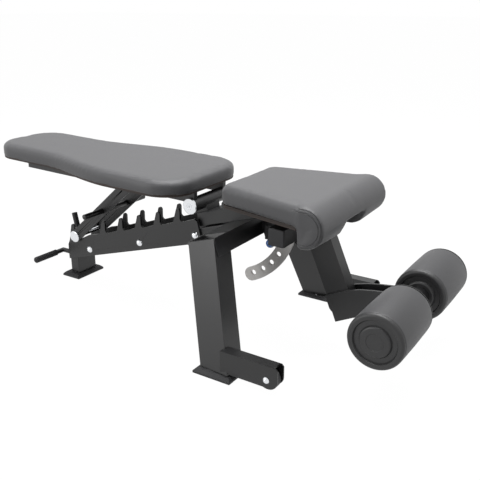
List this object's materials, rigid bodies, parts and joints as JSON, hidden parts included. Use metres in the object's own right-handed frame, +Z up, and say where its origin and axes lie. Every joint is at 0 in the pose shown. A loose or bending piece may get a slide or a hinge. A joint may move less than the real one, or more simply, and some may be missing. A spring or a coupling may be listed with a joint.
{
  "type": "adjustable weight bench",
  "caption": "Weight bench with a back pad that rises on a notched ladder, a tilting seat, foam leg rollers and small transport wheels.",
  "frame": {"origin": "on the floor under the middle of the bench's bounding box", "axes": "+X from the back pad's head end towards the foam rollers, +Y to the right side seen from the rollers' end of the mid plane, +Z up"},
  "size_m": [1.5276, 0.682, 0.4671],
  "materials": {
    "powder_coat": "satin",
    "chrome": "polished",
    "bright_plate": "satin",
    "rubber": "matte",
    "black_plastic": "matte",
    "vinyl": "matte",
    "plywood": "matte",
    "blue_plastic": "gloss"
  },
  "bodies": {
    "frame": {"rear_foot": "rubber", "rear_post": "powder_coat", "ladder_plate_left": "powder_coat", "ladder_plate_right": "powder_coat", "spine_tube": "powder_coat", "ladder_bolts": "chrome", "rear_handle": "powder_coat", "rear_handle_grips": "rubber", "peg_rod": "powder_coat", "peg_cap": "rubber", "front_crossbeam": "powder_coat", "front_leg_left": "powder_coat", "front_leg_right": "powder_coat", "front_foot_left": "rubber", "front_foot_right": "rubber", "foot_screws": "chrome", "wheel_bracket_left": "powder_coat", "wheel_bracket_right": "powder_coat", "wheel_axles": "chrome", "upper_spine": "powder_coat", "back_pivot_lug": "powder_coat", "back_pivot_shaft": "chrome", "back_pivot_caps": "chrome", "seat_pivot_lug": "powder_coat", "seat_pivot_shaft": "powder_coat", "seat_spine": "powder_coat", "roller_post": "powder_coat", "roller_arm_left": "powder_coat", "roller_arm_right": "powder_coat", "roller_hub": "powder_coat", "roller_axle": "chrome", "pin_housing": "powder_coat"},
    "back": {"back_board": "plywood", "back_pad": "vinyl", "back_rail_left": "powder_coat", "back_rail_right": "powder_coat", "back_crosspieces": "powder_coat", "strut_pivots": "chrome"},
    "strut": {"strut_plate_left": "powder_coat", "strut_plate_right": "powder_coat", "strut_pin": "chrome", "strut_pin_caps": "chrome", "strut_bar": "powder_coat"},
    "seat": {"seat_board": "plywood", "seat_pad": "vinyl", "seat_rail_left": "powder_coat", "seat_rail_right": "powder_coat", "seat_crossbar": "powder_coat", "crossbar_plugs": "rubber", "seat_arc_plate": "bright_plate"},
    "pin": {"pop_pin": "chrome", "pin_knob": "blue_plastic"},
    "wheel_left": {"wheel_left": "rubber"},
    "wheel_right": {"wheel_right": "rubber"},
    "roller_left": {"roller_foam_left": "vinyl", "roller_caps_left": "black_plastic"},
    "roller_right": {"roller_foam_right": "vinyl", "roller_caps_right": "black_plastic"}
  },
  "joints": [
    {"name": "back_hinge", "type": "hinge", "parent": "frame", "child": "back", "pos_m": [0.04383, 0, 0.359], "axis": [0, 1, 0], "range_deg": [0, 70]},
    {"name": "strut_hinge", "type": "hinge", "parent": "back", "child": "strut", "pos_m": [-0.20917, 0, 0.383], "axis": [0, 1, 0], "range_deg": [-91, 0]},
    {"name": "seat_hinge", "type": "hinge", "parent": "frame", "child": "seat", "pos_m": [0.14683, 0, 0.372], "axis": [0, -1, 0], "range_deg": [0, 50]},
    {"name": "pin_slide", "type": "slide", "parent": "frame", "child": "pin", "axis": [0, 1, 0], "range_m": [0, 0.012]},
    {"name": "wheel_spin_left", "type": "hinge", "parent": "frame", "child": "wheel_left", "pos_m": [0.44833, -0.3095, 0.04], "axis": [0, 1, 0], "continuous": true},
    {"name": "wheel_spin_right", "type": "hinge", "parent": "frame", "child": "wheel_right", "pos_m": [0.44833, 0.3095, 0.04], "axis": [0, 1, 0], "continuous": true},
    {"name": "roller_spin_left", "type": "hinge", "parent": "frame", "child": "roller_left", "pos_m": [0.69233, -0.153, 0.184], "axis": [0, 1, 0], "continuous": true},
    {"name": "roller_spin_right", "type": "hinge", "parent": "frame", "child": "roller_right", "pos_m": [0.69233, 0.153, 0.184], "axis": [0, 1, 0], "continuous": true}
  ],
  "couplings": [
    {"joint": "strut_hinge", "follows": "back_hinge", "ratio": -1.3}
  ]
}
